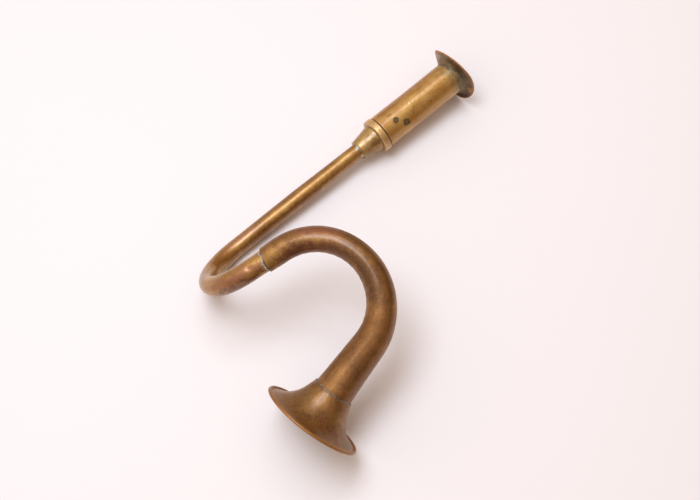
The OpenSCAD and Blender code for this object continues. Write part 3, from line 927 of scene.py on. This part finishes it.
def make_ferrule_solder():
    """Two bright patches where the thin tube enters the ferrule, with a film between them."""
    inner = tube_r(ferrule_end) - 0.02
    start = ferrule_end - 0.02
    loop = filled(rounded([(inner, start, 0), (ferrule_r_small - 0.3, start, 0.05),
                           (inner + 0.35, ferrule_end + 0.8, 0.3),
                           (inner, ferrule_end + 1.7, 0.1)]), 0.12)

    def shape(r, s, angle):
        patch = np.minimum(1, near(angle, 0 * s, 3.6, at_s=0, at_angle=28, size=1.1)
                           + 0.8 * near(angle, 0 * s, 3.6, at_s=0, at_angle=-44, size=0.8))
        reach = 0.12 + 0.05 * relief(angle, 0 * s, seed=43, around=9, along=30) + 0.85 * patch
        height = (r - inner) * (0.06 + 0.9 * patch)
        return inner + height, ferrule_end + (s - ferrule_end) * np.clip(reach, 0.05, 1.1)
    build("ferrule_solder_run", [loop], 96,
          solder("bright_solder", linear(232, 230, 222), linear(170, 166, 156), 14, (0.22, 0.45)),
          "sound_tube", "ferrule_solder", shape)


def make_bell_seam_solder():
    """A thin uneven line where the gooseneck enters the bell's neck."""
    inner = goose_r_end - 0.03
    loop = filled(rounded([(inner, seam - 0.9, 0.1), (inner + 0.2, seam - 0.75, 0.2),
                           (neck_r - 0.12, seam - 0.03, 0.1), (inner, seam - 0.02, 0)]), 0.12)

    def shape(r, s, angle):
        reach = 0.5 + 0.12 * relief(angle, 0 * s, seed=53, around=12, along=30)
        height = (r - inner) * (0.8 + 0.15 * relief(angle, s, seed=54, around=18, along=2))
        return inner + np.maximum(0, height), seam + (s - seam) * np.clip(reach, 0.2, 1)
    build("bell_solder_run", [loop], 144,
          solder("seam_solder", linear(146, 138, 118), linear(98, 92, 76), 17),
          "sound_tube", "bell_seam_solder", shape)


def flare(angle, inward=0.0):
    """A point of the bell's outer outline, or of the line that lies inward of it."""
    a, c = math.radians(angle), math.radians(cone_angle)
    return (cone_r + flare_r * (math.cos(c) - math.cos(a)) - inward * math.cos(a),
            seam + cone_end + flare_r * (math.sin(a) - math.sin(c)) + inward * math.sin(a))


def make_chest_bell():
    """The flare with its neck and the rolled rim, which is hollow around the wire."""
    bead = (flare(lip_angle)[0] + 0.1, mouth)
    neck_bore = goose_r_end + run_gap
    angles = np.linspace(cone_angle, lip_angle, 40)
    outside = [flare(a) for a in angles if bead[0] - flare(a)[0] > bead_r + 0.12]
    crease = [(bead[0] - bead_r - 0.02, mouth - 0.02), (bead[0] - bead_r + 0.03, mouth - 0.05)]
    roll = arc(bead, bead_r, 190, 440, 26)
    inside = [flare(a, bell_wall) for a in angles[::-1] if bead[0] - flare(a)[0] > 0.35]
    neck = [(neck_bore, seam + 0.1), (neck_bore + 0.1, seam), (neck_r - 0.15, seam),
            (neck_r - 0.04, seam + 0.05), (neck_r, seam + 0.2), (neck_r, seam + neck_land)]
    loop = neck + outside + crease + roll + inside + [(neck_bore, seam + neck_land + 0.4)]
    cavity = arc(bead, bead_r / 2 + 0.02, 360, 0, 16)[:-1]

    def shape(r, s, angle):
        out = ramp(r, neck_r, bead[0] - 1)
        uneven = (0.03 * relief(angle, s, seed=61, around=3, along=20)
                  + 0.012 * relief(angle, s, seed=62, around=8, along=6)) * out
        warp = 0.1 * relief(angle, 0 * s, seed=63, around=3, along=30) * out
        return r + uneven, s + warp
    build("chest_bell_flare", [filled(loop, 0.35), cavity], 192, BELL_BRASS, "sound_tube",
          "chest_bell", shape)


def finish_rim_wire():
    """The hidden wire keeps its CAD shape and takes a drawn-steel finish."""
    wire = frame["nodes"]["rim_wire"]
    wire.data.materials.clear()
    wire.data.materials.append(drawn_steel("drawn_steel"))


# ---- stage ----

def make_table():
    """The pale table top."""
    size = 40.0
    mesh = bpy.data.meshes.new("table")
    corners = [(-size, -size, 0), (size, -size, 0), (size, size, 0), (-size, size, 0)]
    mesh.from_pydata(corners, [], [(0, 1, 2, 3)])
    mesh.materials.append(table_top("table_top"))
    link("table", mesh)


def soft_box(name, place, length, width, watts):
    """A rectangular lamp that faces the part."""
    data = bpy.data.lights.new(name, "AREA")
    data.shape = "RECTANGLE"
    data.size = length
    data.size_y = width
    data.energy = watts
    data.color = (0.89, 1.0, 1.13)
    lamp = link(name, data)
    lamp.location = place
    lamp.rotation_euler = (-Vector(place)).to_track_quat("-Z", "Y").to_euler()


def make_lights():
    """Two soft boxes overhead, over the far side."""
    soft_box("left_box", (-0.14, 0.16, 0.825), 0.4, 0.36, 3.7)
    soft_box("right_box", (0.18, 0.28, 0.79), 0.36, 0.18, 0.95)


def make_room():
    """A warm room that is darker on the near side."""
    dark_side, bright_side = (0.25, 0.15, 0.085, 1), (1.02, 0.9, 0.79, 1)
    towards_bright = (-0.36, 0.38, 0.85)
    world = bpy.data.worlds.new("room")
    world.use_nodes = True
    tree = world.node_tree
    direction = tree.nodes.new("ShaderNodeTexCoord")
    share = tree.nodes.new("ShaderNodeVectorMath")
    share.operation = "DOT_PRODUCT"
    share.inputs[1].default_value = towards_bright
    bar = tree.nodes.new("ShaderNodeValToRGB")
    bar.color_ramp.elements[0].color = dark_side
    bar.color_ramp.elements[1].color = bright_side
    tree.links.new(direction.outputs["Generated"], share.inputs[0])
    tree.links.new(share.outputs["Value"], bar.inputs["Fac"])
    tree.links.new(bar.outputs["Color"], tree.nodes["Background"].inputs["Color"])
    bpy.context.scene.world = world


def make_camera():
    """Looks down at the part from its azimuth and elevation, upright."""
    azimuth, elevation, distance = math.radians(-40.28), math.radians(67.24), 0.5395
    target = Vector((-0.0083, 0.0152, 0.0))
    forward = Vector((-math.sin(azimuth) * math.cos(elevation),
                      math.cos(azimuth) * math.cos(elevation), -math.sin(elevation)))
    data = bpy.data.cameras.new("camera")
    data.sensor_width = 36
    data.lens = 61.71
    camera = link("camera", data)
    camera.location = target - forward * distance
    camera.rotation_euler = forward.to_track_quat("-Z", "Y").to_euler()
    bpy.context.scene.camera = camera


for make in (make_barrel, make_collar_ring, make_ferrule, make_threaded_spigot,
             make_threaded_bush, make_sealing_washer, make_ear_disc, make_ear_disc_solder,
             make_bent_tube, make_gooseneck_tube, make_lap_solder, make_ferrule_solder,
             make_bell_seam_solder, make_chest_bell, finish_rim_wire, make_table,
             make_lights, make_room, make_camera):
    make()
bpy.context.scene.view_settings.view_transform = "Standard"
